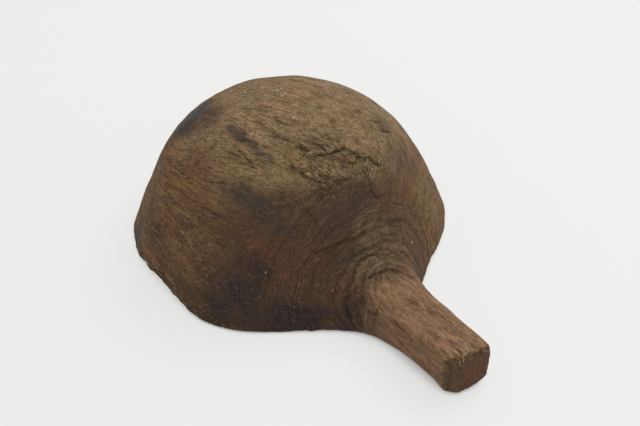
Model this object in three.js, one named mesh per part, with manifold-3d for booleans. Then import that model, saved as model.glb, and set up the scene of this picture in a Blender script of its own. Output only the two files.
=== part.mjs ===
// A wooden ladle carved from one block, lying mouth down as it is put away.
// Millimetres, +Z up, the handle along +X, the mouth's edge on the plane z = 0.

import * as THREE from 'three';
import { mergeVertices } from 'three/addons/utils/BufferGeometryUtils.js';
import Module from 'manifold-3d';

// Bowl, outside: a straight wall that leans in, a round shoulder and a low dome
const rimRadius = 118;
const bowlHeight = 120;
const shoulderRadius = 88;
const shoulderHeight = 82;
const wallLean = 15.5; // degrees off upright where the wall leaves the rim
const shoulderLean = 42; // degrees off upright at the shoulder
const wallRun = 27; // how far each stretch keeps its direction before it bends
const shoulderRunBelow = 17;
const shoulderRunAbove = 15;
const crownRun = 50;

// Hand-carved outline: how far the rim stands out from a true circle, at even
// steps round the mouth, counter-clockwise from the handle
const rimSwell = [-4, 1.5, 10, 3.5, 0, -1, -2, 0, 8, 4, 4.5, -4.5];
const swellLostAtCrown = 0.7; // share of that swell that is gone at the crown
const crownDriftX = 2; // the dome's centre lies off the mouth's centre
const crownDriftY = -3.5;

// Bowl, inside
const rimWall = 11;
const crownWall = 18;
const rimRound = 3; // both edges of the mouth are rounded over

// Worn dip in the mouth's edge
const wearAngle = -92.5; // degrees round the mouth from the handle
const wearDepth = 7;
const wearLength = 94;

// Handle: a short grip with square sides that tapers to its end
const handleOffset = -1.5; // the grip lies beside the bowl's centre line
const gripLength = 70;
const gripNeckWidth = 42.5;
const gripEndWidth = 36;
const gripNeckTop = 37; // heights above the plane of the mouth
const gripEndTop = 42;
const gripEndLift = 2.5;
const gripRoundTop = 7;
const gripRoundUnder = 5;
const endRound = 3;
const endSkew = 3; // the end is sawn a little out of square
const endWearAcross = 8; // worn corner at the end, on the -Y side
const endWearAlong = 6;

// Neck: the grip spreads like a trumpet into the bowl's wall
const neckLength = 25; // from the mouth's mean edge to where the grip starts
const neckSpreadAngle = 42; // degrees round the bowl, to each side
const neckSpreadHeight = 67; // up the wall
const neckWallFlow = 24; // how far the curve follows the wall, and the grip
const neckGripFlow = 16;
const archStep = 0.05; // share of the arch between two points that give its slope

// How finely the curves are cut into faces
const facesRound = 72;
const facesUpWall = 10;
const facesOverCrown = 8;
const facesAlongNeck = 10;
const facesAlongGrip = 4;
const facesRoundGrip = 40;
const facesPerEdge = 3;

const wasm = await Module();
wasm.setup();

const degrees = THREE.MathUtils.degToRad;
const lerp = THREE.MathUtils.lerp;

// A closed skin over rings of points that all have the same number of points
function loft(rings) {
  const count = rings[0].length;
  const points = rings.flat();
  const faces = [];
  for (let ring = 0; ring < rings.length - 1; ring++) {
    for (let i = 0; i < count; i++) {
      const a = ring * count + i;
      const b = ring * count + ((i + 1) % count);
      faces.push(a, b, b + count, a, b + count, a + count);
    }
  }
  capRing(points, faces, rings[0], 0, true);
  capRing(points, faces, rings.at(-1), (rings.length - 1) * count, false);
  const geometry = new THREE.BufferGeometry().setFromPoints(points);
  geometry.setIndex(faces);
  return geometry;
}

// A fan of faces from the middle of an end ring
function capRing(points, faces, ring, first, isStart) {
  const middle = points.length;
  const centre = new THREE.Vector3();
  ring.forEach((point) => centre.addScaledVector(point, 1 / ring.length));
  points.push(centre);
  ring.forEach((point, i) => {
    const here = first + i;
    const next = first + ((i + 1) % ring.length);
    faces.push(middle, ...(isStart ? [next, here] : [here, next]));
  });
}

function toSolid(geometry) {
  const bare = geometry.clone();
  bare.deleteAttribute('normal');
  bare.deleteAttribute('uv');
  const merged = mergeVertices(bare);
  return new wasm.Manifold(new wasm.Mesh({
    numProp: 3,
    vertProperties: new Float32Array(merged.attributes.position.array),
    triVerts: new Uint32Array(merged.index.array),
  }));
}

function toGeometry(solid) {
  const { vertProperties, triVerts } = solid.getMesh();
  const geometry = new THREE.BufferGeometry();
  geometry.setAttribute('position', new THREE.BufferAttribute(vertProperties, 3));
  geometry.setIndex(new THREE.BufferAttribute(triVerts, 1));
  geometry.computeVertexNormals();
  return geometry;
}

// A step of the given length along a line that leans in from upright
function leanStep(angle, length) {
  return new THREE.Vector2(-Math.sin(degrees(angle)), Math.cos(degrees(angle)))
    .multiplyScalar(length);
}

// Half section of the bowl's outside, as radius and height, from rim to crown
function outerCurves() {
  const rim = new THREE.Vector2(rimRadius, rimRound);
  const shoulder = new THREE.Vector2(shoulderRadius, shoulderHeight);
  const crown = new THREE.Vector2(0, bowlHeight);
  const wall = new THREE.CubicBezierCurve(
    rim,
    rim.clone().add(leanStep(wallLean, wallRun)),
    shoulder.clone().sub(leanStep(shoulderLean, shoulderRunBelow)),
    shoulder,
  );
  const dome = new THREE.CubicBezierCurve(
    shoulder,
    shoulder.clone().add(leanStep(shoulderLean, shoulderRunAbove)),
    new THREE.Vector2(crownRun, bowlHeight),
    crown,
  );
  return { wall, dome };
}

// A rounded edge between a flat face at height zero and a wall
function roundedEdge(radius, inward) {
  return new THREE.QuadraticBezierCurve(
    new THREE.Vector2(radius + inward * rimRound, 0),
    new THREE.Vector2(radius, 0),
    new THREE.Vector2(radius, rimRound),
  );
}

function outerProfile() {
  const { wall, dome } = outerCurves();
  const edge = roundedEdge(rimRadius, -1).getPoints(facesPerEdge);
  const side = wall.getPoints(facesUpWall).slice(1);
  return [...edge, ...side, ...dome.getPoints(facesOverCrown).slice(1)];
}

const bowlOutside = outerProfile();

// The outside moved inwards by a wall that thickens from the rim to the crown
function insetPoints(curve, steps) {
  return Array.from({ length: steps + 1 }, (_, i) => {
    const point = curve.getPoint(i / steps);
    const along = curve.getTangent(i / steps);
    const wall = lerp(rimWall, crownWall, point.y / bowlHeight);
    return new THREE.Vector2(point.x - wall * along.y, point.y + wall * along.x);
  });
}

function innerProfile() {
  const { wall, dome } = outerCurves();
  const side = insetPoints(wall, facesUpWall).filter((point) => point.y > rimRound);
  const mouth = side[0].x + (side[0].y - rimRound) * Math.tan(degrees(wallLean));
  const edge = roundedEdge(mouth, 1).getPoints(facesPerEdge);
  const below = new THREE.Vector2(edge[0].x, -rimWall);
  const crown = insetPoints(dome, facesOverCrown).slice(1);
  return [below, ...edge, ...side, ...crown];
}

// Smooth periodic curve through the swells of the rim
function swellAt(turn) {
  const count = rimSwell.length;
  const i = Math.floor(turn * count);
  const t = turn * count - i;
  const [a, b, c, d] = [-1, 0, 1, 2].map((k) => rimSwell.at((i + k) % count));
  const slope = (c - a) / 2;
  const bend = (2 * a - 5 * b + 4 * c - d) / 2;
  const twist = (3 * (b - c) + d - a) / 2;
  return b + t * (slope + t * (bend + t * twist));
}

// A circle with the carved swell, drifting towards the crown
function bowlPoint(radius, height, turn) {
  const angle = turn * 2 * Math.PI;
  const rise = height / bowlHeight;
  const kept = 1 - swellLostAtCrown * rise;
  const reach = radius * (1 + (swellAt(turn) * kept) / rimRadius);
  return new THREE.Vector3(
    reach * Math.cos(angle) + crownDriftX * rise,
    reach * Math.sin(angle) + crownDriftY * rise,
    height,
  );
}

function bowlRing({ x: radius, y: height }) {
  return Array.from({ length: facesRound }, (_, i) => bowlPoint(radius, height, i / facesRound));
}

// The last ring of a profile is a single point, and the fan closes it
function bowlSkin(profile) {
  const { x: radius, y: height } = profile.at(-1);
  const rings = profile.slice(0, -1).map(bowlRing);
  const geometry = loft(rings);
  const points = geometry.attributes.position;
  points.setXYZ(points.count - 1, ...bowlPoint(radius, height, 0));
  return geometry;
}

// A point on the outside of the bowl, by its angle from the handle and its height
function wallPoint(angle, height) {
  const above = bowlOutside.findIndex((point) => point.y > height);
  const [low, high] = [bowlOutside[above - 1], bowlOutside[above]];
  const radius = lerp(low.x, high.x, (height - low.y) / (high.y - low.y));
  return bowlPoint(radius, height, angle / (2 * Math.PI));
}

// Outline of the grip's section from under one side, over the top, to under the other
function gripOutline({ halfWidth, under, top }) {
  const low = under + gripRoundUnder;
  const high = top - gripRoundTop;
  const lowY = halfWidth - gripRoundUnder;
  const highY = halfWidth - gripRoundTop;
  const outline = new THREE.Path();
  outline.moveTo(lowY, under);
  outline.absarc(lowY, low, gripRoundUnder, -Math.PI / 2, 0);
  outline.absarc(highY, high, gripRoundTop, 0, Math.PI / 2);
  outline.absarc(-highY, high, gripRoundTop, Math.PI / 2, Math.PI);
  outline.absarc(-lowY, low, gripRoundUnder, Math.PI, Math.PI * 1.5);
  return outline.getSpacedPoints(facesRoundGrip);
}

// One section of the grip, set out from the bowl along the handle
function gripRing(section) {
  return gripOutline(section).map(({ x: y, y: z }) => new THREE.Vector3(
    section.x + (section.skew * y) / section.halfWidth,
    handleOffset + y,
    z,
  ));
}

function gripSection(share) {
  return {
    x: rimRadius + neckLength + (gripLength - endRound) * share,
    halfWidth: lerp(gripNeckWidth, gripEndWidth, share) / 2,
    under: gripEndLift * share,
    top: lerp(gripNeckTop, gripEndTop, share),
    skew: endSkew * share,
  };
}

// The rounded edge of the end: the section shrinks as it reaches the end face
function endSection(share) {
  const grip = gripSection(1);
  const drawn = endRound * (1 - Math.cos((share * Math.PI) / 2));
  return {
    ...grip,
    x: grip.x + endRound * Math.sin((share * Math.PI) / 2),
    halfWidth: grip.halfWidth - drawn,
    under: grip.under + drawn,
    top: grip.top - drawn,
  };
}

// Where the trumpet runs out on the wall: an arch over the root of the handle
function archPoint(turn, size) {
  const angle = degrees(neckSpreadAngle) * Math.cos(turn * Math.PI);
  return wallPoint(angle * size, neckSpreadHeight * Math.sin(turn * Math.PI) * size);
}

// Curves that leave the wall along its surface and run into the grip
function neckCurves() {
  return gripRing(gripSection(0)).map((grip, i) => {
    const turn = i / facesRoundGrip;
    const wall = archPoint(turn, 1);
    const inwards = archPoint(turn, 1 - archStep).sub(wall).normalize();
    return new THREE.CubicBezierCurve3(
      wall,
      wall.clone().addScaledVector(inwards, neckWallFlow),
      grip.clone().setX(grip.x - neckGripFlow),
      grip,
    );
  });
}

function neckRings() {
  const curves = neckCurves();
  const shares = Array.from({ length: facesAlongNeck }, (_, i) => i / facesAlongNeck);
  const rings = shares.map((share) => curves.map((curve) => curve.getPoint(share)));
  const root = rings[0].map(({ x, y, z }) => {
    const reach = Math.hypot(x, y);
    return new THREE.Vector3(x, y, 0).multiplyScalar((reach - rimWall) / reach).setZ(z);
  });
  return [root, ...rings];
}

function handleSolid() {
  const along = Array.from({ length: facesAlongGrip + 1 }, (_, i) => i / facesAlongGrip);
  const ends = Array.from({ length: facesPerEdge }, (_, i) => (i + 1) / facesPerEdge);
  const sections = [...along.map(gripSection), ...ends.map(endSection)];
  return toSolid(loft([...neckRings(), ...sections.map(gripRing)]));
}

// A shallow arch pushed through the wall from outside, across the mouth's edge
function rimWearSolid() {
  const half = wearLength / 2;
  const arch = new THREE.Shape();
  arch.moveTo(-half, -wearDepth);
  arch.lineTo(-half, 0);
  arch.quadraticCurveTo(0, 2 * wearDepth, half, 0);
  arch.lineTo(half, -wearDepth);
  const cut = new THREE.ExtrudeGeometry(arch, {
    depth: rimRadius,
    bevelEnabled: false,
    curveSegments: facesUpWall,
  });
  cut.rotateX(Math.PI / 2);
  cut.rotateZ(degrees(wearAngle + 90));
  const out = new THREE.Vector3(Math.cos(degrees(wearAngle)), Math.sin(degrees(wearAngle)), 0);
  cut.translate(...out.multiplyScalar(rimRadius / 2));
  return toSolid(cut);
}

// A wedge that takes the worn corner off the end of the grip
function endWearSolid() {
  const end = rimRadius + neckLength + gripLength - endSkew;
  const side = handleOffset - gripEndWidth / 2;
  const wedge = new THREE.Shape();
  wedge.moveTo(end - 2 * endWearAlong, side - endWearAcross);
  wedge.lineTo(end + endWearAlong, side - endWearAcross);
  wedge.lineTo(end + endWearAlong, side + 2 * endWearAcross);
  const cut = new THREE.ExtrudeGeometry(wedge, {
    depth: 2 * gripEndTop,
    bevelEnabled: false,
  });
  cut.translate(0, 0, -gripEndTop / 2);
  return toSolid(cut);
}

function ladleGeometry() {
  const bowl = toSolid(bowlSkin(bowlOutside));
  const hollow = toSolid(bowlSkin(innerProfile()));
  const carved = bowl
    .add(handleSolid())
    .subtract(hollow)
    .subtract(rimWearSolid())
    .subtract(endWearSolid());
  return toGeometry(carved);
}

// Weathered hardwood, brown and dull
const weatheredWood = new THREE.MeshStandardMaterial({
  color: '#6b5644',
  roughness: 0.8,
  metalness: 0,
});

const ladle = new THREE.Mesh(ladleGeometry(), weatheredWood);
ladle.name = 'ladle';

// The origin lies under the middle of the whole ladle
const size = new THREE.Box3().setFromObject(ladle);
const middle = size.getCenter(new THREE.Vector3());
ladle.position.set(-middle.x, -middle.y, -size.min.z);

const object = new THREE.Group();
object.add(ladle);

export default object;
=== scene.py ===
import math
import bpy
import bmesh
import numpy as np
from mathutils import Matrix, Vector, noise


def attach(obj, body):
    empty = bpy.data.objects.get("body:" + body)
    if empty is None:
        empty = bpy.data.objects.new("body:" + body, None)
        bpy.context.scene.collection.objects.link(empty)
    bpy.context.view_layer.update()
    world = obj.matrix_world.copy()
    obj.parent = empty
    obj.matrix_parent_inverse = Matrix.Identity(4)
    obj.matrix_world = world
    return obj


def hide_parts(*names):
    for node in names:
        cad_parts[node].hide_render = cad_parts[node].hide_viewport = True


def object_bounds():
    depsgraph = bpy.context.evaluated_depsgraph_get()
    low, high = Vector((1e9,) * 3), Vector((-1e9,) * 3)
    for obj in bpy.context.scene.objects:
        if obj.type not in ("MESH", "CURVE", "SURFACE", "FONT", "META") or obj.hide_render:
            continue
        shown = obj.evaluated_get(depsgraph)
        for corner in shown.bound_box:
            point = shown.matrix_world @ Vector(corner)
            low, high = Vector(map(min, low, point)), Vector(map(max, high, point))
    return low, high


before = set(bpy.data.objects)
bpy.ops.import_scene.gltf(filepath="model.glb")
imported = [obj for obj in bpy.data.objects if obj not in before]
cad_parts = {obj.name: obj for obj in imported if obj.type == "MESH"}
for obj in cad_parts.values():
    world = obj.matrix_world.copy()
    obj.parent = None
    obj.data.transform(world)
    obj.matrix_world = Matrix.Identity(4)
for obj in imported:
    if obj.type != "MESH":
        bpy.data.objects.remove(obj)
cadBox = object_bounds()

# One ladle of old wood, mouth down on a pale table. Lengths are millimetres, and
# mm turns them to metres where Blender needs them.
mm = 0.001
bowlX, bowlY = -50.0, -0.5  # the bowl's middle, seen from above
pithY, pithZ = -2.0, 20.0  # the growth rings run round the middle of the handle


# camera, table and lamps

cameraSettings = {
    "azimuth": 52.15,
    "elevation": 44.43,
    "distance": 957,
    "target": (-11.5, 1.3, 40),
    "lens": 70,
    "sensor": 36,
}

studio = {
    "tableSize": 8000,
    "table": "#f0f0ef",
    "tableGlow": 0.73,  # how much of the table's white is its own, so that shadows stay faint
    "contactReach": 26,  # how far the narrow shadow under a raised edge of the wood reaches
    "contactSpan": (0.05, 0.53),  # how open the paper is where that shadow is darkest, and where it ends
    "contactLevel": 0.1,  # how light the shadow is at its darkest
    "sky": "#f6f5f3",
    "skyLevel": 0.45,
    "skySeen": 0.9,  # the camera sees the sky brighter than the wood does, so that it meets the table
    "lamps": [
        # name, place, width, watts
        ("softboxBehind", (-80, 1200, 1600), 1400, 16),
        ("softboxAbove", (100, -100, 2200), 1800, 16),
    ],
}


def addCamera():
    turn = math.radians(cameraSettings["azimuth"])
    rise = math.radians(cameraSettings["elevation"])
    back = Vector((
        math.sin(turn) * math.cos(rise),
        -math.cos(turn) * math.cos(rise),
        math.sin(rise),
    ))
    camera = bpy.data.objects.new("camera", bpy.data.cameras.new("camera"))
    camera.data.lens = cameraSettings["lens"]
    camera.data.sensor_width = cameraSettings["sensor"]
    place = Vector(cameraSettings["target"]) + back * cameraSettings["distance"]
    camera.location = place * mm
    camera.rotation_euler = (-back).to_track_quat("-Z", "Y").to_euler()
    bpy.context.collection.objects.link(camera)
    bpy.context.scene.camera = camera


def addLamps():
    for name, place, width, watts in studio["lamps"]:
        lamp = bpy.data.objects.new(name, bpy.data.lights.new(name, "AREA"))
        lamp.data.size = width * mm
        lamp.data.energy = watts
        lamp.location = Vector(place) * mm
        lamp.rotation_euler = (-lamp.location).to_track_quat("-Z", "Y").to_euler()
        bpy.context.collection.objects.link(lamp)


def addSky():
    world = bpy.data.worlds.new("sky")
    world.use_nodes = True
    tree = world.node_tree
    background = tree.nodes["Background"]
    background.inputs["Color"].default_value = linear(studio["sky"])
    path = addNode(tree, "LightPath")
    level = addNode(tree, "MapRange", {}, {
        "Value": path.outputs["Is Camera Ray"],
        "To Min": studio["skyLevel"],
        "To Max": studio["skySeen"],
    })
    tree.links.new(level.outputs["Result"], background.inputs["Strength"])
    bpy.context.scene.world = world


def addTable():
    shape = bmesh.new()
    bmesh.ops.create_grid(shape, x_segments=1, y_segments=1, size=studio["tableSize"] / 2 * mm)
    mesh = bpy.data.meshes.new("table")
    shape.to_mesh(mesh)
    shape.free()
    table = bpy.data.objects.new("table", mesh)
    bpy.context.collection.objects.link(table)
    mesh.materials.append(mattPaper())


# small helpers for the materials


def linear(code):
    # an sRGB hex colour as linear red, green, blue and alpha
    parts = [int(code[i:i + 2], 16) / 255 for i in (1, 3, 5)]
    return tuple(c / 12.92 if c <= 0.04045 else ((c + 0.055) / 1.055) ** 2.4 for c in parts) + (1,)


def addNode(tree, kind, settings=None, inputs=None):
    # a socket given as an input is linked, anything else is set on the input
    node = tree.nodes.new("ShaderNode" + kind)
    for name, value in (settings or {}).items():
        setattr(node, name, value)
    for name, value in (inputs or {}).items():
        if isinstance(value, bpy.types.NodeSocket):
            tree.links.new(value, node.inputs[name])
        else:
            node.inputs[name].default_value = value
    return node


def newMaterial(name):
    material = bpy.data.materials.new(name)
    material.use_nodes = True
    tree = material.node_tree
    return material, tree, tree.nodes["Principled BSDF"]


def mattPaper():
    # matt background paper: an even pale grey that holds a faint wide shadow, and a
    # narrow one where the wood touches it
    material, tree, shader = newMaterial("mattPaper")
    shader.inputs["Base Color"].default_value = linear(studio["table"])
    shader.inputs["Roughness"].default_value = 0.9
    shader.inputs["Specular IOR Level"].default_value = 0.1
    near = addNode(tree, "AmbientOcclusion", {}, {"Distance": studio["contactReach"] * mm})
    darkest, clear = studio["contactSpan"]
    level = addNode(tree, "MapRange", {}, {
        "Value": near.outputs["AO"],
        "From Min": darkest,
        "From Max": clear,
        "To Min": studio["contactLevel"],
        "To Max": 1,
    })
    glow = addNode(tree, "Emission", {}, {
        "Color": linear(studio["table"]),
        "Strength": level.outputs["Result"],
    })
    seen = addNode(tree, "Math", {"operation": "MULTIPLY"}, {
        0: addNode(tree, "LightPath").outputs["Is Camera Ray"],
        1: studio["tableGlow"],
    })
    mixed = addNode(tree, "MixShader", {}, {
        0: seen.outputs[0],
        1: shader.outputs[0],
        2: glow.outputs[0],
    })
    tree.links.new(mixed.outputs[0], tree.nodes["Material Output"].inputs["Surface"])
    return material


# the wood

wood = {
    # each pattern: its size along the grain and across it, its detail and roughness
    "patterns": {
        "fibre": ((9, 0.9, 0.9), 4, 0.6),
        "thread": ((30, 1.2, 1.2), 3, 0.6),
        "strand": ((16, 1.6, 1.6), 3, 0.5),
        "streak": ((26, 4.5, 4.5), 3, 0.6),
        "mottle": ((11, 6.5, 6.5), 4, 0.6),
        "cloud": ((46, 30, 30), 2, 0.5),
        "flake": ((14, 4.4, 4.4), 4, 0.55),
        "fleck": ((2.2, 1.5, 1.5), 3, 0.7),
        "pore": ((4, 1.3, 1.3), 1, 0.5),
        "hair": ((22, 13, 13), 2, 0.5),
        "blot": ((3.2, 3.2, 3.2), 2, 0.5),
    },
    "ringWidth": 2.4,
    "ringStroke": (15, 1.2, 7),  # a stroke's length along the ring, across the rings, and down the handle
    "flakeSteps": 7,  # how many ledges the flake pattern is cut into
    "hairTurns": 24,  # how many stray fibres lie across the hair pattern's whole range
    # how a pattern shades the wood: the values it runs between, then its darkest and its lightest
    "fineShades": [
        ("fibre", 0.32, 0.68, 0.74, 1.28),
        ("thread", 0.34, 0.66, 0.9, 1.1),
        ("fleck", 0.32, 0.68, 0.64, 1.41),
        ("pore", 0.3, 0.4, 0.62, 1.04),
    ],
    "broadShades": [
        ("mottle", 0.3, 0.7, 0.86, 1.14),
        # painted light and shade on each torn flake: lighter towards its edge, darker at its foot
        ("ledges", -0.5, 0.5, 0.6, 1.35),
        ("ledges", -0.5, -0.25, 0.5, 1.0),  # the shadow under each flake
        ("rings", -0.3, 0.3, 0.5, 1.58),
    ],
    # how far a pattern stands up, or sinks in
    "heights": {
        "ledges": 1.8,
        "rings": 1.0,
        "split": -0.7,
        "fibre": 0.3,
        "fleck": 0.4,
        "pore": 0.3,
    },
    "bumpHeight": 0.8,  # how high a height of 1 stands
    # colours in even light, the broad ones first
    "flank": "#805e3b",
    "flankDark": "#503a27",
    "domeRed": "#83684e",
    "domeGreen": "#7b6849",
    "khaki": "#745f3e",
    "front": "#5c4130",
    "frontDark": "#473225",
    "neck": "#635038",
    "plum": "#322828",
    "ruddy": "#66402e",
    "grip": "#83634a",
    "endWood": "#60412d",
    "endWorn": "#5c4a31",
    "umber": "#3b2a1c",
    "soot": "#3a322b",
    "polish": "#28282a",
    "paleFibre": "#a48e66",
    "speck": "#bfab8a",
    # the dark of painted shade, laid into cracks, splits and the gaps between strands
    "crevice": "#261a12",
}


def grainPatterns(tree):
    # noise in the grain's own coordinates, millimetres along and across the fibres
    along = addNode(tree, "Attribute", {"attribute_name": "grainPlace"}).outputs["Vector"]
    grain = {}
    for name, (cell, detail, rough) in wood["patterns"].items():
        stretched = addNode(tree, "VectorMath", {"operation": "DIVIDE"}, {0: along, 1: cell})
        grain[name] = addNode(tree, "TexNoise", {}, {
            "Vector": stretched.outputs[0],
            "Scale": 1,
            "Detail": detail,
            "Roughness": rough,
        }).outputs["Fac"]
    return grain


def paintedMasks(tree, grain):
    # the masks painted on the mesh, broken up by the streaks and the mottling, which
    # together run from about 0.82 to 1.14
    uneven = addNode(tree, "Math", {"operation": "ADD"}, {0: grain["streak"], 1: grain["mottle"]})
    masks = {}
    for name, ragged in ladle["maskEdges"].items():
        painted = addNode(tree, "Attribute", {"attribute_name": name}).outputs["Fac"]
        broken = addNode(tree, "MapRange", {"clamp": False}, {
            "Value": uneven.outputs[0],
            "From Min": 0.82,
            "From Max": 1.14,
            "To Min": 1 - 0.7 * ragged,
            "To Max": 1 + 0.5 * ragged,
        })
        masks[name] = addNode(tree, "Math", {"operation": "MULTIPLY", "use_clamp": True}, {
            0: painted,
            1: broken.outputs["Result"],
        }).outputs[0]
    # soot lies in the pores, so its edge follows single fibres
    fine = addNode(tree, "Math", {"operation": "ADD"}, {0: grain["fibre"], 1: grain["fleck"]})
    fine = addNode(tree, "Math", {"operation": "MULTIPLY_ADD"}, {
        0: fine.outputs[0],
        1: 1.5,
        2: masks["soot"],
    })
    masks["soot"] = addNode(tree, "MapRange", {"interpolation_type": "SMOOTHSTEP"}, {
        "Value": fine.outputs[0],
        "From Min": 1.85,
        "From Max": 2.35,
        "To Max": 0.85,
    }).outputs["Result"]
    return masks


def tornLedges(tree, grain, masks):
    # flakes that lift out of the wood, each with a sharp edge and a shadow under it
    steps = addNode(tree, "Math", {"operation": "MULTIPLY"}, {0: grain["flake"], 1: wood["flakeSteps"]})
    ledge = addNode(tree, "Math", {"operation": "FRACT"}, {0: steps.outputs[0]}).outputs[0]
    return addNode(tree, "Math", {"operation": "MULTIPLY"}, {
        0: addNode(tree, "Math", {"operation": "SUBTRACT"}, {0: ledge, 1: 0.5}).outputs[0],
        1: masks["flaky"],
    }).outputs[0]


def growthRings(tree, grain, masks):
    # bands of uneven width round the pith, each ending in a fine ledge; the streaks make
    # them waver
    radius = addNode(tree, "Attribute", {"attribute_name": "ringRadius"}).outputs["Fac"]
    turns = addNode(tree, "Math", {"operation": "DIVIDE"}, {0: radius, 1: wood["ringWidth"]})
    turns = addNode(tree, "Math", {"operation": "MULTIPLY_ADD"}, {
        0: grain["streak"],
        1: 1.6,
        2: turns.outputs[0],
    }).outputs[0]
    bands = addNode(tree, "TexNoise", {"noise_dimensions": "1D"}, {
        "W": turns,
        "Scale": 1,
        "Detail": 2,
        "Roughness": 0.65,
    }).outputs["Fac"]
    ledge = addNode(tree, "Math", {"operation": "FRACT"}, {0: turns}).outputs[0]
    both = addNode(tree, "Math", {"operation": "MULTIPLY_ADD"}, {0: ledge, 1: 0.22, 2: bands})
    # and short strokes that follow them, all less their mean, so that rings lighten the
    # wood as much as they darken it
    place = addNode(tree, "Attribute", {"attribute_name": "ringPlace"}).outputs["Vector"]
    place = addNode(tree, "VectorMath", {"operation": "DIVIDE"}, {0: place, 1: wood["ringStroke"]})
    strokes = addNode(tree, "TexNoise", {}, {
        "Vector": place.outputs[0],
        "Scale": 1,
        "Detail": 3,
        "Roughness": 0.6,
    }).outputs["Fac"]
    both = addNode(tree, "Math", {"operation": "ADD"}, {0: both.outputs[0], 1: strokes})
    both = addNode(tree, "Math", {"operation": "SUBTRACT"}, {0: both.outputs[0], 1: 1.11})
    return addNode(tree, "Math", {"operation": "MULTIPLY"}, {
        0: both.outputs[0],
        1: masks["rings"],
    }).outputs[0]


def crevices(tree, grain, masks):
    # thin splits with one lip proud, their dark line painted shade; the mesh holds the way to
    # the nearest one, and the flecks and the mottling pull its line about
    side = addNode(tree, "Attribute", {"attribute_name": "crackSide"}).outputs["Fac"]
    ragged = addNode(tree, "Math", {"operation": "MULTIPLY_ADD"}, {
        0: addNode(tree, "Math", {"operation": "SUBTRACT"}, {0: grain["fleck"], 1: 0.5}).outputs[0],
        1: 3,
        2: side,
    }).outputs[0]
    ragged = addNode(tree, "Math", {"operation": "MULTIPLY_ADD"}, {
        0: addNode(tree, "Math", {"operation": "SUBTRACT"}, {0: grain["mottle"], 1: 0.5}).outputs[0],
        1: 5,
        2: ragged,
    }).outputs[0]
    away = addNode(tree, "Math", {"operation": "ABSOLUTE"}, {0: ragged}).outputs[0]
    line = addNode(tree, "MapRange", {"interpolation_type": "SMOOTHSTEP"}, {
        "Value": away,
        "From Min": 0.1,
        "From Max": 0.9,
        "To Min": 0.75,
        "To Max": 0,
    }).outputs["Result"]
    line = addNode(tree, "Math", {"operation": "MULTIPLY"}, {0: line, 1: masks["cracked"]}).outputs[0]
    lip = addNode(tree, "MapRange", {"interpolation_type": "SMOOTHSTEP"}, {
        "Value": ragged,
        "From Min": -0.7,
        "From Max": 0.5,
    }).outputs["Result"]
    lip = addNode(tree, "Math", {"operation": "MULTIPLY"}, {0: lip, 1: masks["cracked"]}).outputs[0]
    return line, lip


def paleHairs(tree, grain, masks):
    # stray fibres: thin curved pale lines on the walls, in places only
    turns = addNode(tree, "Math", {"operation": "MULTIPLY"}, {0: grain["hair"], 1: wood["hairTurns"]})
    line = addNode(tree, "Math", {"operation": "PINGPONG"}, {0: turns.outputs[0], 1: 0.5})
    line = addNode(tree, "MapRange", {}, {
        "Value": line.outputs[0],
        "From Min": 0.0,
        "From Max": 0.13,
        "To Min": 1,
        "To Max": 0,
    }).outputs["Result"]
    places = addNode(tree, "MapRange", {}, {
        "Value": grain["mottle"],
        "From Min": 0.46,
        "From Max": 0.62,
        "To Max": 0.7,
    }).outputs["Result"]
    hairs = addNode(tree, "Math", {"operation": "MULTIPLY"}, {0: line, 1: places}).outputs[0]
    return addNode(tree, "Math", {"operation": "MULTIPLY"}, {0: hairs, 1: masks["hairy"]}).outputs[0]


def paleSpecks(tree, grain):
    # fine dust everywhere, and a few larger specks where the photo shows them
    ragged = 4  # how far the flecks pull the edge of a speck about
    place = addNode(tree, "TexCoord").outputs["Object"]
    mask = addNode(tree, "MapRange", {}, {
        "Value": grain["blot"],
        "From Min": 0.76,
        "From Max": 0.79,
    }).outputs["Result"]
    for middle, radius in ladle["specks"]:
        away = addNode(tree, "VectorMath", {"operation": "DISTANCE"}, {
            0: place,
            1: [value * mm for value in middle],
        })
        pulled = addNode(tree, "Math", {"operation": "MULTIPLY_ADD"}, {
            0: grain["fleck"],
            1: ragged * mm,
            2: away.outputs["Value"],
        })
        inside = addNode(tree, "MapRange", {}, {
            "Value": pulled.outputs[0],
            "From Min": (radius * 0.5 + ragged / 2) * mm,
            "From Max": (radius * 1.5 + ragged / 2) * mm,
            "To Min": 0.8,
            "To Max": 0,
        })
        mask = addNode(tree, "Math", {"operation": "MAXIMUM"}, {
            0: mask,
            1: inside.outputs["Result"],
        }).outputs[0]
    return mask


def wornSmooth(tree, masks):
    # the front wall and the rubbed places are smoother than the dome, the neck and the grip
    worn = addNode(tree, "Math", {"operation": "ADD"}, {0: masks["front"], 1: masks["plum"]})
    for name, share in [("rubbed", 1.0), ("grip", -0.3), ("neck", -0.4)]:
        worn = addNode(tree, "Math", {"operation": "MULTIPLY_ADD"}, {
            0: masks[name],
            1: share,
            2: worn.outputs[0],
        })
    return worn.outputs[0]


def shadedBy(tree, shade, grain, shades):
    # the shade, darkened and lightened by each pattern in the list
    for name, start, end, darkest, lightest in shades:
        level = addNode(tree, "MapRange", {}, {
            "Value": grain[name],
            "From Min": start,
            "From Max": end,
            "To Min": darkest,
            "To Max": lightest,
        })
        shade = addNode(tree, "Math", {"operation": "MULTIPLY"}, {
            0: shade,
            1: level.outputs["Result"],
        }).outputs[0]
    return shade


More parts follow.
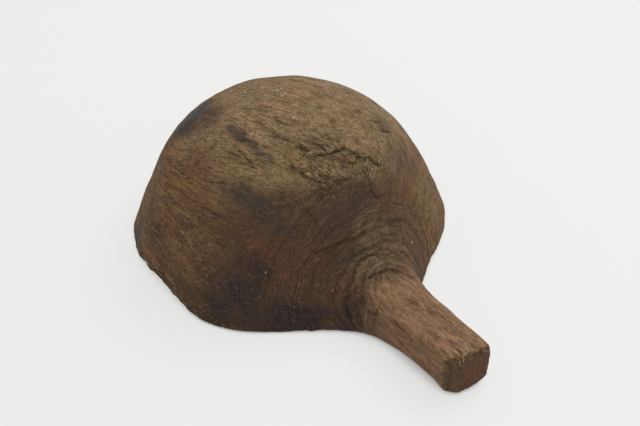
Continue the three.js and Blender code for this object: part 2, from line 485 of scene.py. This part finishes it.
def broadColour(tree, grain, masks):
    # the colours of the parts of the wood, each laid over the ones before
    streaked = addNode(tree, "MapRange", {}, {"Value": grain["streak"], "From Min": 0.3, "From Max": 0.7})
    colour = addNode(tree, "Mix", {"data_type": "RGBA"}, {
        0: streaked.outputs["Result"],
        6: linear(wood["flankDark"]),
        7: linear(wood["flank"]),
    }).outputs[2]
    front = addNode(tree, "Mix", {"data_type": "RGBA"}, {
        0: streaked.outputs["Result"],
        6: linear(wood["frontDark"]),
        7: linear(wood["front"]),
    }).outputs[2]
    hue = addNode(tree, "Math", {"operation": "ADD"}, {0: grain["mottle"], 1: grain["cloud"]})
    hue = addNode(tree, "MapRange", {}, {"Value": hue.outputs[0], "From Min": 0.85, "From Max": 1.15})
    dome = addNode(tree, "Mix", {"data_type": "RGBA"}, {
        0: hue.outputs["Result"],
        6: linear(wood["domeGreen"]),
        7: linear(wood["domeRed"]),
    }).outputs[2]
    layers = [("dome", dome), ("front", front)]
    layers += [(name, linear(wood[name])) for name in (
        "neck", "ruddy", "grip", "khaki", "umber", "plum", "endWood", "endWorn", "soot", "polish",
    )]
    for name, tint in layers:
        colour = addNode(tree, "Mix", {"data_type": "RGBA"}, {
            0: masks[name],
            6: colour,
            7: tint,
        }).outputs[2]
    return colour


def woodShade(tree, grain, masks):
    # fine light and dark, fainter where the wood is worn smooth or its strands show
    shade = shadedBy(tree, 1.0, grain, wood["fineShades"])
    calm = addNode(tree, "Math", {"operation": "ADD"}, {0: wornSmooth(tree, masks), 1: masks["fuzz"]})
    strength = addNode(tree, "MapRange", {}, {
        "Value": calm.outputs[0],
        "From Max": 1.3,
        "To Min": 1.4,
        "To Max": 0.25,
    })
    shade = addNode(tree, "Math", {"operation": "SUBTRACT"}, {0: shade, 1: 1})
    shade = addNode(tree, "Math", {"operation": "MULTIPLY_ADD"}, {
        0: shade.outputs[0],
        1: strength.outputs["Result"],
        2: 1,
    }).outputs[0]
    # then mottling, flakes and rings
    return shadedBy(tree, shade, grain, wood["broadShades"])


def frayedStrands(tree, grain, masks):
    # pale strands on torn wood and worn edges, and painted shade in the gaps between them
    strands = addNode(tree, "Math", {"operation": "MULTIPLY_ADD"}, {
        0: grain["fleck"],
        1: 0.4,
        2: grain["strand"],
    })
    paleFibre = addNode(tree, "MapRange", {"interpolation_type": "SMOOTHSTEP"}, {
        "Value": strands.outputs[0],
        "From Min": 0.73,
        "From Max": 0.85,
    }).outputs["Result"]
    pale = addNode(tree, "Math", {"operation": "MULTIPLY"}, {0: paleFibre, 1: masks["fuzz"]})
    gap = addNode(tree, "MapRange", {"interpolation_type": "SMOOTHSTEP"}, {
        "Value": strands.outputs[0],
        "From Min": 0.53,
        "From Max": 0.65,
        "To Min": 0.85,
        "To Max": 0,
    }).outputs["Result"]
    gaps = addNode(tree, "Math", {"operation": "MULTIPLY"}, {0: gap, 1: masks["fuzz"]})
    return pale.outputs[0], gaps.outputs[0]


def woodColour(tree, grain, masks):
    # the parts' colours, shaded by the grain, with what lies on the wood over them, and
    # painted shade in its cracks, splits and gaps
    colour = addNode(tree, "VectorMath", {"operation": "SCALE"}, {
        0: broadColour(tree, grain, masks),
        "Scale": woodShade(tree, grain, masks),
    }).outputs[0]
    pale, gaps = frayedStrands(tree, grain, masks)
    # the crevice colour here is painted shade: in gaps, splits, cracks and below their lips
    for mask, tint in [
        (gaps, "crevice"),
        (pale, "paleFibre"),
        (paleHairs(tree, grain, masks), "paleFibre"),
        (paleSpecks(tree, grain), "speck"),
        (masks["shadeAndDirt"], "crevice"),
        (grain["split"], "crevice"),
    ]:
        colour = addNode(tree, "Mix", {"data_type": "RGBA"}, {
            0: mask,
            6: colour,
            7: linear(wood[tint]),
        }).outputs[2]
    return colour


def oldWood():
    # weathered hardwood, carved and never varnished: dull, dry and open-grained,
    # with fine fibres along the handle, worn pale where it was torn and rubbed,
    # dark where hands and food greased it
    material, tree, shader = newMaterial("weatheredHardwood")
    grain = grainPatterns(tree)
    masks = paintedMasks(tree, grain)
    grain["ledges"] = tornLedges(tree, grain, masks)
    grain["rings"] = growthRings(tree, grain, masks)
    grain["split"], lip = crevices(tree, grain, masks)
    tree.links.new(woodColour(tree, grain, masks), shader.inputs["Base Color"])

    # dull wood, a little smoother where it is polished
    roughness = addNode(tree, "MapRange", {}, {
        "Value": masks["polish"],
        "To Min": 0.8,
        "To Max": 0.6,
    })
    tree.links.new(roughness.outputs["Result"], shader.inputs["Roughness"])
    shader.inputs["IOR"].default_value = 1.5
    shader.inputs["Specular IOR Level"].default_value = 0.25

    # raised fibres, pits, flakes, rings and split lips
    height = lip
    for name, share in wood["heights"].items():
        height = addNode(tree, "Math", {"operation": "MULTIPLY_ADD"}, {
            0: grain[name],
            1: share,
            2: height,
        }).outputs[0]
    strength = addNode(tree, "MapRange", {}, {
        "Value": wornSmooth(tree, masks),
        "From Max": 1.3,
        "To Min": 0.9,
        "To Max": 0.5,
    })
    bump = addNode(tree, "Bump", {}, {
        "Height": height,
        "Strength": strength.outputs["Result"],
        "Distance": wood["bumpHeight"] * mm,
    })
    tree.links.new(bump.outputs["Normal"], shader.inputs["Normal"])
    return material


# the ladle: shape

ladle = {
    "voxel": 1.65,
    "smoothSteps": 7,
    "smoothStepsAtEnd": 2,  # the end of the grip keeps its worn edges
    "fullness": 0.35,  # given back after the smoothing
    "carvedDepth": 0.8,  # broad unevenness left by the carver's tools
    "waveDepth": 0.3,
    "tornDepth": 1.7,
    "ringDepth": 0.55,
    "fibreDepth": 0.2,
    "splitDepth": 0.7,
    "gougeDepth": 0.9,
    "gougeLength": 17,
    "gougeWidth": 9,
    "chipDepth": 1.6,
    "rimRoughness": 0.5,
    "endRoughness": 0.45,
    "endChipDepth": 1.2,
    "edgeRise": 11,  # how far the mouth's edge rises off the table on its worn side
    "edgeRiseWidth": 24,  # degrees to each side
    "gripArch": 3.4,  # how far the grip's underside is worn hollow
    "swirl": 27,  # degrees that the fibres turn towards +Y over the dome
    "wander": 2.2,  # how far the fibres stray
    "hollowMiddle": (bowlX, bowlY, 20),
    "hollowEnd": 72,  # along X, past the inside of the bowl
    "rimEnd": 60,  # along X, where the mouth's edge gives way to the neck

    # stretches along the ladle: where each fades in, and where it fades out again
    "neckStart": (34, 50),
    "neckEnd": (76, 88),
    "gripStart": (66, 84),
    "arch": (84, 116, 132, 158),
    "keptEnd": (142, 150),  # past here the worn edges aren't smoothed away
    "endStart": (148, 154),
    "endChips": (140, 152),
    # heights
    "swirlRise": (62, 104),
    "domeRise": (80, 108),
    # degrees round the bowl, clockwise from the handle as seen from above
    "wornSide": (46, 66, 112, 132),
    "flank": (70, 88, 120, 140),

    # noise in the wood: its size along X, Y and Z, or along the grain and across it,
    # how many finer layers it has, and where it starts
    "noise": {
        "tooling": ((32, 32, 32), 2, 0.0),
        "waves": ((22, 9, 9), 2, 7.3),
        "flakes": ((15, 5, 5), 3, 3.1),
        "fibres": ((9, 2.8, 2.8), 2, 1.7),
        "splits": ((15, 2.4, 2.4), 2, 9.1),
        "ringRidges": ((2.6, 40, 60), 3, 0.0),
        "ringWaver": ((40, 14, 14), 3, 0.0),
        "edgeChips": ((6, 6, 5), 2, 4.4),
        "rimGrit": ((5, 3, 3), 2, 6.1),
        "endGrain": ((3, 2.5, 2.5), 2, 2.2),
        "endChips": ((7, 7, 7), 2, 8.2),
        "strayY": ((45, 25, 25), 2, 0.0),
        "strayZ": ((45, 25, 25), 2, 4.7),
        "wobble": ((22, 14, 14), 3, 0.0),
    },

    # the painted masks, and how ragged their edges are
    "maskEdges": {
        "dome": 0.9,
        "front": 0.4,
        "neck": 0.8,
        "khaki": 1.0,
        "ruddy": 0.7,
        "umber": 0.5,
        "plum": 0.35,
        "soot": 0.8,
        "polish": 0.6,
        "grip": 0.2,
        "rubbed": 0.3,
        "endWood": 0,
        "endWorn": 0.4,
        "rings": 0.5,
        "flaky": 0.8,
        "cracked": 0.9,
        "fuzz": 0.4,
        "hairy": 0,
        "shadeAndDirt": 0.3,
    },

    # places on the wood: middle, reach along X, Y and Z, strength
    "zones": {
        # dry, olive wood on the dome and its far shoulder, and here and there on the grip
        "khaki": [
            ((-35, -55, 108), (52, 28, 28), 0.7),
            ((-5, -16, 109), (34, 36, 26), 0.85),
            ((16, 25, 98), (21, 28, 15), 0.75),
            ((-20, 45, 105), (34, 22, 22), 0.4),
            ((-110, 20, 95), (34, 54, 24), 0.5),
            ((165, 3, 41), (9, 26, 8), 0.7),
            ((28, 76, 46), (24, 22, 46), 0.65),
            ((84, -14, 40), (20, 12, 10), 0.35),
        ],
        # torn grain on top of the dome and on top of the grip
        "torn": [
            ((-2, -6, 108), (36, 36, 24), 1.0),
            ((16, 22, 99), (19, 22, 15), 1.0),
            ((-30, -52, 108), (28, 18, 20), 0.45),
            ((125, 4, 40), (44, 9, 12), 0.5),
            ((143, -8, 38), (20, 10, 12), 0.45),
        ],
        # dark, purplish stains on the front wall, round the neck and on the far shoulder
        "plum": [
            ((12, -92, 36), (26, 26, 30), 0.9),
            ((6, -104, 20), (26, 20, 24), 0.9),
            ((24, -90, 16), (20, 18, 26), 0.75),
            ((20, -80, 54), (14, 16, 20), 0.7),
            ((40, -66, 12), (38, 34, 28), 1.1),
            ((46, -20, 57), (14, 18, 18), 0.5),
            ((66, -34, 14), (26, 20, 24), 0.6),
            ((84, -27, 20), (10, 9, 24), 0.5),
            ((32, -16, 82), (22, 40, 18), 0.5),
            ((16, 60, 82), (20, 24, 24), 0.45),
        ],
        # dark brown below the torn dome, by the neck and low on the near side: partly the wood's
        # own colour, partly painted shade where the wall turns away from the light
        "umber": [
            ((-28, -114, 20), (44, 18, 22), 0.6),
            ((-70, -112, 38), (16, 10, 20), 0.65),
            ((68, -30, 26), (16, 16, 26), 0.5),
            ((-93, -44, 102), (24, 26, 20), 0.6),
            ((-34, -111, 26), (34, 16, 22), 0.3),
            ((-11, -105, 40), (14, 10, 16), 0.5),
            ((-87, -104, 44), (14, 14, 22), 0.55),
            ((8, -42, 97), (16, 18, 11), 0.5),
            ((19, -18, 97), (14, 22, 11), 0.65),
            ((26, 5, 92), (14, 17, 11), 0.6),
            ((56, -24, 44), (12, 9, 12), 0.4),
        ],
        # redder wood, most of it on the front wall and the near flank
        "ruddy": [
            ((-57, -72, 99), (26, 20, 20), 0.65),
            ((34, -50, 62), (16, 20, 26), 0.35),
            ((32, -60, 52), (10, 12, 24), 0.45),
            ((16, -74, 68), (14, 12, 14), 0.6),
            ((-60, -105, 45), (44, 18, 34), 0.35),
            ((60, -28, 30), (18, 18, 24), 0.3),
            ((-60, -115, 24), (28, 10, 15), 0.6),
            ((8, 8, 106), (10, 13, 9), 0.7),
            ((10, -34, 103), (10, 12, 9), 0.4),
        ],
        # sooty strokes over the dome and its far shoulder, and across the wall in front
        "soot": [
            ((-60, -42, 114), (14, 7, 9), 0.9),
            ((-48, -42, 114), (16, 9, 9), 0.95),
            ((-37, -41, 114), (16, 9, 9), 0.95),
            ((-24, -40.5, 112.5), (15, 8, 9), 0.8),
            ((-36, -50, 111), (13, 4, 8), 0.4),
            ((-26, -20, 117), (12, 5, 8), 0.45),
            ((-88, -42, 106), (20, 16, 14), 0.5),
            ((-12, 61, 97), (20, 12, 12), 0.6),
            ((18, 36, 92), (12, 11, 10), 0.35),
            ((-4, 0, 112), (14, 9, 9), 0.35),
            ((-27, -70, 97), (14, 10, 10), 0.55),
            ((-14, -66, 97), (18, 12, 11), 0.9),
            ((0, -61, 94), (19, 14, 13), 0.95),
            ((12, -57, 86), (16, 14, 15), 0.85),
            ((20, -52, 79), (13, 12, 13), 0.6),
        ],
        # black and smooth, at the back of the dome and low on the wall
        "polish": [
            ((-104, -56, 94), (17, 17, 16), 0.95),
            ((-109, -45, 95), (19, 18, 17), 1.1),
            ((-112, -35, 95), (15, 15, 14), 0.95),
            ((-117, -44, 87), (22, 26, 24), 0.7),
            ((-104, -112, 14), (15, 12, 24), 0.9),
        ],
        # places where the grain is worn smooth
        "rubbed": [
            ((28, 78, 62), (46, 24, 60), 0.8),
            ((-14, 70, 92), (30, 16, 18), 0.6),
            ((-108, -50, 92), (22, 26, 24), 0.8),
            ((96, -16, 26), (34, 12, 16), 0.6),
            ((6, -96, 26), (34, 30, 34), 0.5),
        ],
    },

    # pale specks stuck in the grain: place, radius
    "specks": [
        ((-74, 9, 116.5), 1.3),
        ((-65, 7, 118), 1.2),
        ((-67, 11, 117.5), 0.9),
        ((-39, -2, 119), 1.0),
        ((-92, -8, 111), 1.0),
        ((23, -75, 53), 0.6),
        ((-10, -104, 41), 0.5),
        ((54, 38, 38), 0.9),
    ],

    # cracks: path, depth, how far the uphill side stands proud
    "cracks": [
        ([(-14, -7, 115), (-11, -5, 114), (-7, -2, 113), (-3, 0, 111)], 0.6, 0.9),
        ([(-3, -11, 111), (-1, -4, 110), (1, 3, 110), (1, 9, 109), (1, 14, 108)], 1.0, 1.6),
        ([(1, 14, 108), (5, 17, 106), (7, 21, 103)], 0.6, 1.0),
        ([(9, 19, 103), (12, 23, 101), (14, 29, 98), (18, 32, 94)], 0.75, 1.2),
        ([(6, 3, 107), (11, 9, 104), (13, 15, 102)], 0.5, 0.9),
        ([(-5, -29, 109), (1, -26, 107), (6, -25, 105), (12, -19, 102)], 0.75, 1.3),
        ([(12, -12, 102), (17, -7, 100), (20, 0, 98)], 0.45, 0.9),
        ([(-31, -23, 117), (-24, -19, 117), (-18, -16, 115), (-12, -13, 113)], 0.5, 0.5),
        ([(-16, 56, 101), (-15, 60, 99)], 0.7, 0.4),
        ([(-7, 57, 97), (-6, 63, 93)], 0.9, 0.4),
        ([(27, 16, 91), (31, 15, 88), (35, 17, 83)], 0.6, 0.7),
        ([(21, -37, 91), (30, -34, 83)], 0.45, 0.4),
        ([(-42, -50, 111), (-35, -50, 110), (-27, -50, 109)], 0.55, 0.3),
        ([(39, -38, 65), (42, -28, 66), (44, -16, 67), (46, -4, 67)], 0.75, 0.8),
        ([(54, -15, 52), (56, -6, 53), (57, 1, 51)], 0.5, 0.6),
        ([(46, 20, 63), (46, 26, 61), (45, 34, 57)], 0.5, 0.5),
        ([(51, -19, 54), (51, -10, 57), (54, 3, 54)], 0.45, 0.4),
        ([(59, 8, 48), (60, 14, 46)], 0.5, 0.3),
        ([(66, -14, 43), (67, -7, 43), (69, 0, 43)], 0.6, 0.9),
        ([(68, 2, 43), (72, 7, 41), (76, 11, 39), (82, 14, 37)], 0.6, 1.0),
        ([(86, -25, 12), (86, -24, 30), (85, -17, 37)], 0.5, 0.3),
        ([(102, -21, 34), (112, -20, 34), (123, -20, 34)], 0.4, 0.3),
        ([(97, 2, 38), (104, 5, 38), (110, 3, 38), (117, 5, 38), (130, 6, 39)], 0.3, 0.4),
        ([(97, -1, 37), (104, 0, 38)], 0.5, 0.3),
        ([(132, -1, 40), (141, 0, 41)], 0.4, 0.3),
        ([(128, -10, 40), (131, -9, 40)], 0.4, 0.2),
        ([(143, -6, 41), (148, -5, 41)], 0.35, 0.2),
        ([(156, -17, 36), (157, -15, 26), (157, -16, 8)], 0.5, 0.5),
        ([(160, -11, 36), (161, -9, 22)], 0.4, 0.7),
    ],

    # where the carver pressed a flat, or left the wall fuller: middle, reach, how far out
    "flats": [
        ((-104, -88, 50), 42, -2.6),
        ((24, 84, 50), 36, 0.8),
        ((-102, -60, 88), 26, 0.9),
        ((-96, -116, 10), 34, -1.5),
        ((-48, -119, 13), 30, -1.2),
        ((150, -20, 4), 16, -1.6),
        ((163, -2, 2), 14, 1.2),
        ((159, -12, 1), 12, 1.4),
        ((46, -62, 2), 22, 1.5),
    ],
}


def ramp(value, start, end):
    # 0 below start, 1 above end, smooth between
    t = np.clip((value - start) / (end - start), 0, 1)
    return t * t * (3 - 2 * t)


def band(value, start, whole, fading, end):
    # 0 outside start and end, 1 from whole to fading
    return ramp(value, start, whole) * (1 - ramp(value, fading, end))


def grainAt(points, name):
    # the noise of that name, from about -1 to 1
    cell, layers, shift = ladle["noise"][name]
    scaled = (points / np.array(cell) + shift).tolist()
    return np.array([noise.fractal(p, 1.0, 2.0, layers) for p in scaled])


def inZone(points, name, wobble):
    # how far each point lies inside the uneven spots of that name
    mask = np.zeros(len(points))
    for middle, reach, strength in ladle["zones"][name]:
        away = np.linalg.norm((points - middle) / reach, axis=1) + wobble
        mask = np.maximum(mask, strength * (1 - ramp(away, 0.2, 1.1)))
    return mask


def nearestCrack(points, normals):
    # for each point: the way to the nearest crack, positive uphill of it, with
    # that crack's depth and the height of its lip
    farOff, wall = 30.0, 6  # a crack isn't seen from behind the wall
    way = np.full(len(points), farOff)
    deep, lip = np.zeros(len(points)), np.zeros(len(points))
    for path, depth, proud in ladle["cracks"]:
        for start, end in zip(path, path[1:]):
            along = np.array(end, float) - start
            share = np.clip((points - start) @ along / (along @ along), 0, 1)
            offset = points - start - share[:, None] * along
            above = np.einsum("ij,ij->i", offset, normals)
            away = np.linalg.norm(offset - above[:, None] * normals, axis=1)
            away = np.where(np.abs(above) < wall, away, farOff)
            # uphill is towards the crown, away from the handle
            across = np.cross(along, normals)
            uphill = across[away.argmin()] @ (-0.4, 0, 1)
            side = np.sign(np.einsum("ij,ij->i", offset, across) * uphill)
            nearer = away < np.abs(way)
            way = np.where(nearer, away * side, way)
            deep = np.where(nearer, depth, deep)
            lip = np.where(nearer, proud, lip)
    return way, deep, lip


def neighbourMean(values, edges):
    # the mean of the values at the points next to each point
    count = np.bincount(edges.ravel(), minlength=len(values))
    total = np.zeros_like(values)
    for a, b in (edges.T, edges.T[::-1]):
        for axis in range(values.shape[1]):
            total[:, axis] += np.bincount(a, values[b, axis], len(values))
    return total / count[:, None]


def gougeMarks(points):
    # rows of shallow dents inside the bowl, longer down the slope than across
    fromX, fromY = points[:, 0] - bowlX, points[:, 1] - bowlY
    turn = np.arctan2(fromY, fromX)
    down = np.hypot(fromX, fromY) + (100 - points[:, 2]).clip(0) * 0.8
    # the rows keep their number of dents over a stretch of the slope, then take on more
    stretch = 24
    u = turn * np.maximum(np.round(down / stretch), 1) * stretch / ladle["gougeWidth"]
    v = down / ladle["gougeLength"]
    nearest = np.full(len(points), 9.0)
    cellU, cellV = np.floor(u), np.floor(v)
    for stepU in (-1, 0, 1):
        for stepV in (-1, 0, 1):
            a, b = cellU + stepU, cellV + stepV
            # each dent lies a little off its row, always by the same amount
            jitterU = np.modf(np.sin(a * 12.99 + b * 78.23) * 437.5)[0] * 0.35
            jitterV = np.modf(np.sin(a * 39.35 + b * 11.13) * 837.1)[0] * 0.35
            away = (u - a - 0.5 - jitterU) ** 2 + (v - b - 0.5 - jitterV) ** 2
            nearest = np.minimum(nearest, away)
    return 1 - np.clip(nearest / 0.5, 0, 1)


def smoothPoints(mesh, edges):
    # rubs the facets away, less at the end of the grip
    flat = np.empty(len(mesh.vertices) * 3)
    mesh.vertices.foreach_get("co", flat)
    points = flat.reshape(-1, 3) / mm
    atEnd = (ramp(points[:, 0], *ladle["keptEnd"]) * ramp(points[:, 1], -14, -4))[:, None]
    for step in range(ladle["smoothSteps"]):
        share = 0.6 * (1 - atEnd * (step >= ladle["smoothStepsAtEnd"]))
        points += share * (neighbourMean(points, edges) - points)
    mesh.vertices.foreach_set("co", (points * mm).ravel())
    mesh.update()
    mesh.vertices.foreach_get("normal", flat)
    return points, flat.reshape(-1, 3).copy()


def grainCoordinates(points):
    # the fibres follow the handle, wander a little, and turn over the dome
    x, y, z = points.T
    turn = -math.radians(ladle["swirl"]) * ramp(z, *ladle["swirlRise"])
    along = (x - bowlX) * np.cos(turn) - (y - bowlY) * np.sin(turn)
    across = (x - bowlX) * np.sin(turn) + (y - bowlY) * np.cos(turn)
    return np.stack([
        along,
        across + ladle["wander"] * grainAt(points, "strayY"),
        z + ladle["wander"] * grainAt(points, "strayZ"),
    ], axis=1)


def splits(at):
    # short narrow splits along the grip, more of them where it is torn
    more = 0.14 * ramp(at["torn"], 0.0, 0.4)
    split = ramp(grainAt(at["grain"], "splits"), 0.58 - more, 0.75)
    return split * at["grip"] * (1 - at["end"])


def findPlaces(points, normals, edges):
    # where on the ladle each point is
    x, y, z = points.T
    at = {"grain": grainCoordinates(points)}
    # inside the bowl the surface faces the middle of the hollow
    inwards = np.einsum("ij,ij->i", points - ladle["hollowMiddle"], normals) < 0
    inside = (inwards & (x < ladle["hollowEnd"]) & (z > 1)).astype(float)
    at["inside"] = neighbourMean(inside[:, None], edges)[:, 0]
    at["outside"] = 1 - at["inside"]
    at["around"] = np.degrees(np.arctan2(y - bowlY, x - bowlX))
    at["reach"] = np.hypot(x - bowlX, y - bowlY)
    # how sharply the surface bends: convex edges are positive, hollows negative
    turnsAway = np.einsum("ij,ij->i", points - neighbourMean(points, edges), normals)[:, None]
    for _ in range(3):
        turnsAway = neighbourMean(turnsAway, edges)
    at["edge"] = ramp(turnsAway[:, 0] / ladle["voxel"] ** 2, 0.03, 0.08)
    at["wobble"] = 0.3 * grainAt(at["grain"], "wobble")
    # the mouth's edge is worn most on one side, where it also stands off the table
    at["worn"] = band(-at["around"], *ladle["wornSide"])
    fromRise = (at["around"] + 90) / ladle["edgeRiseWidth"]
    at["aboveEdge"] = z - ladle["edgeRise"] * np.exp(-fromRise ** 2)
    at["flank"] = at["outside"] * band(-at["around"], *ladle["flank"])
    at["rim"] = at["outside"] * (1 - ramp(at["aboveEdge"] + 8 * at["wobble"], 2, 9))
    at["rim"] *= (x < ladle["rimEnd"]) * (0.2 + 0.8 * at["worn"])
    at["torn"] = inZone(points, "torn", at["wobble"]) * at["outside"]
    at["grip"] = ramp(x + 12 * at["wobble"], *ladle["gripStart"])
    at["end"] = ramp(normals[:, 0], 0.5, 0.75) * ramp(x + 0.15 * (z - 30), *ladle["endStart"])
    at["endWorn"] = at["end"] * ramp(-normals[:, 1], 0.22, 0.5)
    at["splits"] = splits(at)
    at["crackWay"], at["crackDepth"], at["crackLip"] = nearestCrack(points, normals)
    # growth rings show where the neck is cut across them
    at["ringRadius"] = np.hypot(y - pithY, z - pithZ) + 1.8 * grainAt(points, "ringWaver")
    roundPith = 45 * np.arctan2(y - pithY, z - pithZ)
    at["ringPlace"] = np.stack([roundPith, at["ringRadius"], x], axis=1)
    cutAcross = ramp(np.abs(normals[:, 0]), 0.08, 0.35)
    neck = ramp(x + 20 * at["wobble"], *ladle["neckStart"]) * (1 - ramp(x, *ladle["neckEnd"]))
    at["neck"] = at["outside"] * neck * cutAcross
    return at


def relief(points, normals, at):
    # how far each point moves outwards, in millimetres
    x, y, z = points.T
    depth = np.full(len(points), ladle["fullness"])
    # the carver's unevenness goes mostly inwards
    depth -= ladle["carvedDepth"] * (grainAt(points, "tooling") + 0.3)
    depth -= ladle["waveDepth"] * grainAt(at["grain"], "waves") * at["outside"]
    for middle, size, push in ladle["flats"]:
        away = np.linalg.norm(points - middle, axis=1)
        depth += push * (1 - ramp(away, 0.2 * size, size)) * at["outside"]

    # torn grain: thin flakes that end in ledges
    flakes = 3.2 * grainAt(at["grain"], "flakes")
    ledge = np.floor(flakes) + ramp(flakes - np.floor(flakes), 0.0, 0.25)
    depth += at["torn"] * ladle["tornDepth"] * (ledge * 0.35 - 0.15)
    depth += (0.35 + at["torn"]) * ladle["fibreDepth"] * grainAt(at["grain"], "fibres")

    # growth rings stand in low ridges on the neck
    ringLine = np.stack([at["ringRadius"], x, y], axis=1)
    depth += at["neck"] * ladle["ringDepth"] * grainAt(ringLine, "ringRidges")

    # short splits in the grip, and its hollow underside
    depth -= ladle["splitDepth"] * at["splits"]
    depth -= ladle["gripArch"] * band(x, *ladle["arch"]) * (1 - ramp(z, 3, 18))

    # chips out of the mouth's edge, most of them where it is worn, and grit along it
    lowEdge = at["edge"] * (1 - ramp(at["aboveEdge"], 4, 10)) * (1 - at["grip"])
    chips = ramp(grainAt(points, "edgeChips"), 0.1, 0.55) * (0.08 + 0.92 * at["worn"])
    depth -= ladle["chipDepth"] * lowEdge * chips
    depth += ladle["rimRoughness"] * at["rim"] * grainAt(points, "rimGrit")

    # rough end grain, and chips out of the end's edges, most of them at the top
    depth += ladle["endRoughness"] * at["end"] * grainAt(points, "endGrain")
    chips = ramp(grainAt(points, "endChips"), -0.1, 0.5) * (0.3 + 0.7 * ramp(z, 5, 20))
    depth -= ladle["endChipDepth"] * at["edge"] * ramp(x, *ladle["endChips"]) * chips

    # the gouge's marks inside
    depth -= at["inside"] * ladle["gougeDepth"] * gougeMarks(points)

    # cracks, each with its uphill lip
    away = np.abs(at["crackWay"])
    depth -= at["crackDepth"] * np.exp(-(away / 1.4) ** 2)
    depth += at["crackLip"] * np.exp(-(away / 7) ** 2) * ramp(at["crackWay"], -1.2, 1.2)
    return depth


def paintedPlaces(points, normals, at):
    # the masks that the wood's material reads
    x, y, z = points.T
    wobble, outside = at["wobble"], at["outside"]
    # the dome's colour reaches further down the far side
    height = z + 14 * wobble + 14 * ramp(y, 20, 70)
    # the smooth dark wall on the handle's side of the bowl
    frontSide = ramp(at["around"], -90 + 20 * wobble, -52) * (1 - ramp(at["around"], 14, 40))
    # frayed: torn grain, the worn edge, the top of the grip's end, the ridge down that end,
    # and a little of the near flank
    ridge = at["end"] * (1 - ramp(np.abs(y + 9.5 + wobble), 0.4, 2)) * (0.3 + 0.7 * ramp(z, 18, 26))
    topEnd = ramp(x, 146, 156) * ramp(z, 33, 38)
    frayed = 0.1 + 0.6 * at["torn"] + at["rim"] * (0.3 + 0.7 * ramp(-at["around"], 84, 100))
    frayed += 0.4 * at["edge"] * outside + 0.7 * topEnd + ridge
    frayed += 0.1 * at["flank"] * (1 - ramp(z, 70, 95))
    # besides the neck, rings show on the back, faintly inside, and on the front wall
    ringsElsewhere = 0.8 * ramp(-normals[:, 0], 0.5, 0.85) + 0.3 * at["inside"]
    ringsElsewhere += 0.45 * outside * frontSide * ramp(x, -10, 30) * (1 - 0.7 * ramp(y, 15, 55))
    # painted shadow lies below the lip of each crack
    below = 1 - ramp(at["crackWay"], 0, 1.5)
    shadow = 0.4 * at["crackDepth"] * below * np.exp(-(at["crackWay"] / 2.4) ** 2)
    return {
        "rings": np.clip(0.1 + at["neck"] + ringsElsewhere, 0, 1) * (1 - at["end"]),
        "flaky": np.clip(at["torn"] + 0.12 * outside * ramp(z, 80, 100) + 0.8 * at["rim"], 0, 1),
        "cracked": at["crackDepth"] * (1 - ramp(np.abs(at["crackWay"]), 1.5, 4.5)),
        "crackSide": at["crackWay"],
        "dome": ramp(height, *ladle["domeRise"]) * outside,
        "khaki": inZone(points, "khaki", wobble) * outside,
        "front": frontSide * ramp(at["reach"], 58, 78) * outside + 0.75 * at["inside"],
        "neck": at["neck"] * ramp(z, 32, 50) * ramp(y, -34, -14) * (0.9 - 0.5 * ramp(y, 4, 24)),
        "umber": inZone(points, "umber", wobble) * outside,
        "plum": inZone(points, "plum", wobble) * outside,
        "ruddy": inZone(points, "ruddy", wobble) * outside,
        "grip": at["grip"],
        "rubbed": inZone(points, "rubbed", wobble) * outside,
        "endWood": at["end"],
        "endWorn": at["endWorn"],
        "soot": inZone(points, "soot", wobble * 1.3) * outside,
        "polish": inZone(points, "polish", wobble * 0.4) * outside,
        "fuzz": np.clip(frayed, 0, 1),
        "hairy": outside * (1 - ramp(height, 66, 90)) * (0.1 + 0.9 * ramp(-at["around"], 50, 75)),
        # painted shade in the grip's splits and below the cracks' lips, a little darker along the worn
        # rim
        "shadeAndDirt": np.clip(0.6 * at["splits"] + shadow + 0.1 * at["rim"], 0, 1),
        "ringRadius": at["ringRadius"],
    }


def sculpt(mesh):
    # moves the points in and out along the surface, always inside the CAD part's box,
    # and paints the masks
    pairs = np.empty(len(mesh.edges) * 2, int)
    mesh.edges.foreach_get("vertices", pairs)
    edges = pairs.reshape(-1, 2)
    points, normals = smoothPoints(mesh, edges)
    at = findPlaces(points, normals, edges)
    moved = points + normals * relief(points, normals, at)[:, None]
    low, high = (np.array(corner) / mm for corner in cadBox)
    moved = np.clip(moved, low + 0.01, high - 0.01)
    mesh.vertices.foreach_set("co", (moved * mm).ravel())
    for name, values in paintedPlaces(points, normals, at).items():
        attribute = mesh.attributes.new(name, "FLOAT", "POINT")
        attribute.data.foreach_set("value", values.astype(np.float32))
    for name, place in [("grainPlace", at["grain"]), ("ringPlace", at["ringPlace"])]:
        attribute = mesh.attributes.new(name, "FLOAT_VECTOR", "POINT")
        attribute.data.foreach_set("vector", place.astype(np.float32).ravel())
    mesh.update()


def carveLadle():
    # the solid, given an even skin that is fine enough to carve
    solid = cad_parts["ladle"]
    shape = bmesh.new()
    shape.from_mesh(solid.data)
    bmesh.ops.remove_doubles(shape, verts=shape.verts, dist=0.01 * mm)
    rough = bpy.data.meshes.new("roughLadle")
    shape.to_mesh(rough)
    shape.free()
    block = bpy.data.objects.new("roughLadle", rough)
    bpy.context.collection.objects.link(block)
    remesh = block.modifiers.new("even skin", "REMESH")
    remesh.mode = "VOXEL"
    remesh.voxel_size = ladle["voxel"] * mm
    bpy.context.view_layer.update()
    mesh = bpy.data.meshes.new_from_object(block.evaluated_get(bpy.context.evaluated_depsgraph_get()))
    bpy.data.objects.remove(block)
    mesh.name = "carvedLadle"
    print("even skin:", len(mesh.vertices), "points")
    sculpt(mesh)
    mesh.materials.clear()
    mesh.materials.append(oldWood())
    mesh.shade_smooth()
    piece = bpy.data.objects.new("carvedLadle", mesh)
    bpy.context.collection.objects.link(piece)
    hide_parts("ladle")
    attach(piece, "root")
    print("ladle carved")


addCamera()
addSky()
addLamps()
addTable()
print("studio ready")
carveLadle()
bpy.context.scene.view_settings.view_transform = "Standard"
